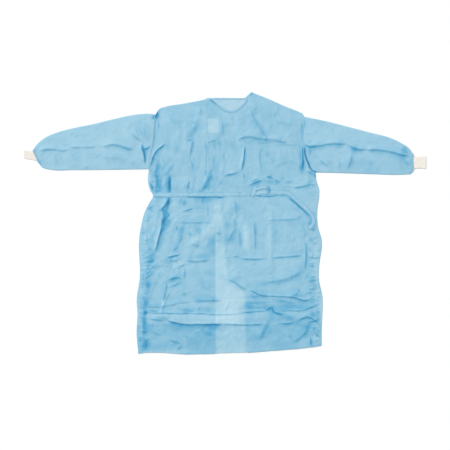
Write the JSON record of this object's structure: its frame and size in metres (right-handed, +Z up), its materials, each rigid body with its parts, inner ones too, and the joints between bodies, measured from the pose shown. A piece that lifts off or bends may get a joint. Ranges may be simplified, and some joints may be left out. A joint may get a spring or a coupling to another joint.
{
  "type": "surgical gown",
  "caption": "Long-sleeved back-opening gown of blue nonwoven cloth with knit cuffs and a tied waist belt, laid flat with its front up.",
  "frame": {"origin": "on the surface under the middle of the laid gown", "axes": "+X towards the sleeve on the picture's right, +Y towards the neck, +Z up"},
  "size_m": [1.788, 1.162, 0.0227],
  "materials": {
    "nonwoven_front": "matte blue nonwoven, faintly embossed",
    "nonwoven_back": "matte blue nonwoven, faintly embossed",
    "nonwoven_sleeve": "matte blue nonwoven, faintly embossed",
    "knit_cuff": "matte off-white rib knit",
    "neck_binding": "matte blue nonwoven, folded double",
    "neck_tab": "matte pale, plain",
    "belt": "matte blue nonwoven, folded double"
  },
  "bodies": {
    "root": {"body_front": "nonwoven_front", "back_left": "nonwoven_back", "back_right": "nonwoven_back", "sleeve_left": "nonwoven_sleeve", "sleeve_right": "nonwoven_sleeve", "cuff_left": "knit_cuff", "cuff_right": "knit_cuff", "neck_binding_front": "neck_binding", "neck_binding_back": "neck_binding", "neck_tab": "neck_tab", "belt_left": "belt", "belt_knot": "belt", "belt_right": "belt"}
  },
  "joints": []
}
